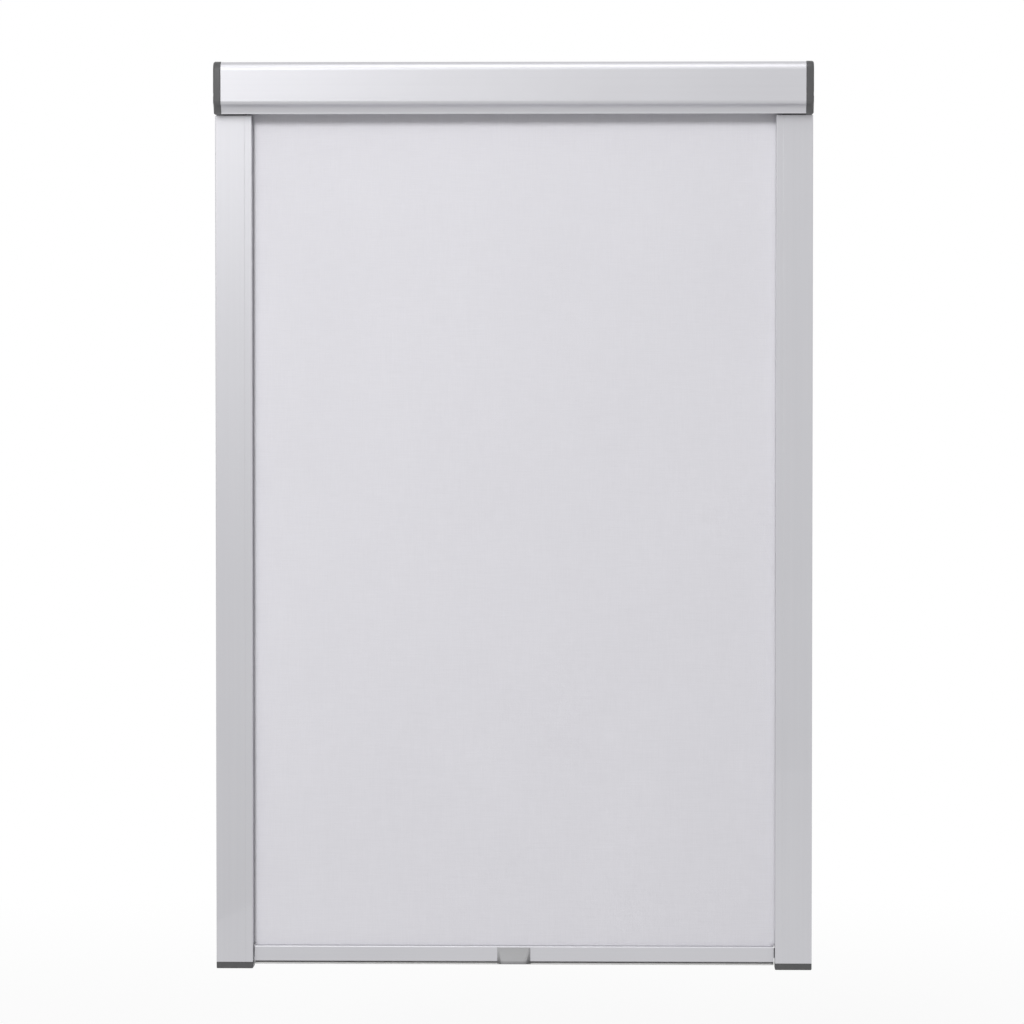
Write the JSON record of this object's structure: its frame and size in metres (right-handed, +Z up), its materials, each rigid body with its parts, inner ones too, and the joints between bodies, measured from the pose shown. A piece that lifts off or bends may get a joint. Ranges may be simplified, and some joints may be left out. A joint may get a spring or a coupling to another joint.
{
  "type": "skylight window blind",
  "caption": "Roller blind for a roof window: a head box with a spring roller, side guide rails, pale fabric and a pull bar with a handle.",
  "frame": {"origin": "centre of the head box's back face, in the mounting plane", "axes": "+X across the blind to the right, +Y out of the mounting plane towards the glass, +Z up along the rails; the room is at -Y"},
  "size_m": [0.613, 0.0465, 0.932],
  "materials": {
    "aluminium": "satin anodised, finely brushed along the extrusion",
    "dark_plastic": "dark grey moulded plastic with a fine grain",
    "grey_plastic": "mid grey moulded plastic with a fine grain",
    "white_plastic": "natural white acetal",
    "steel": "zinc plated",
    "fabric": "tightly woven, pale lavender grey",
    "pile": "short dense grey pile",
    "rubber": "matt grey rubber"
  },
  "bodies": {
    "casing": {"cassette_cover": "aluminium", "end_cap_left": "dark_plastic", "end_cap_right": "dark_plastic", "cap_screw_left_front": "steel", "cap_screw_left_top": "steel", "cap_screw_right_front": "steel", "cap_screw_right_top": "steel", "spring_shaft": "steel", "spring_anchor": "white_plastic", "idler_pin": "steel", "side_rail_left": "aluminium", "side_rail_right": "aluminium", "pile_left_back": "pile", "pile_left_front": "pile", "pile_right_back": "pile", "pile_right_front": "pile", "rail_foot_left": "dark_plastic", "rail_foot_right": "dark_plastic"},
    "roller": {"roller_tube": "aluminium", "roller_spline": "white_plastic", "spring_plug": "white_plastic", "idler_plug": "white_plastic", "torsion_spring": "steel", "fabric_roll": "fabric"},
    "pull_bar": {"bottom_bar": "aluminium", "bar_spline": "white_plastic", "bar_seal": "rubber", "pull_handle": "grey_plastic", "slider_left": "grey_plastic", "slider_right": "grey_plastic", "brake_pad_left": "pile", "brake_pad_right": "pile", "brake_spring_left": "steel", "brake_spring_right": "steel", "fabric": "fabric"}
  },
  "joints": [
    {"name": "bar_slide", "type": "slide", "parent": "casing", "child": "pull_bar", "axis": [0, 0, 1], "range_m": [0, 0.836], "deforming": ["fabric"]},
    {"name": "roller_spin", "type": "hinge", "parent": "casing", "child": "roller", "pos_m": [0, -0.0228, 0.003], "axis": [1, 0, 0], "range_deg": [0, 3237]}
  ],
  "couplings": [
    {"joint": "roller_spin", "follows": "bar_slide", "rad_per_m": 67.568}
  ]
}
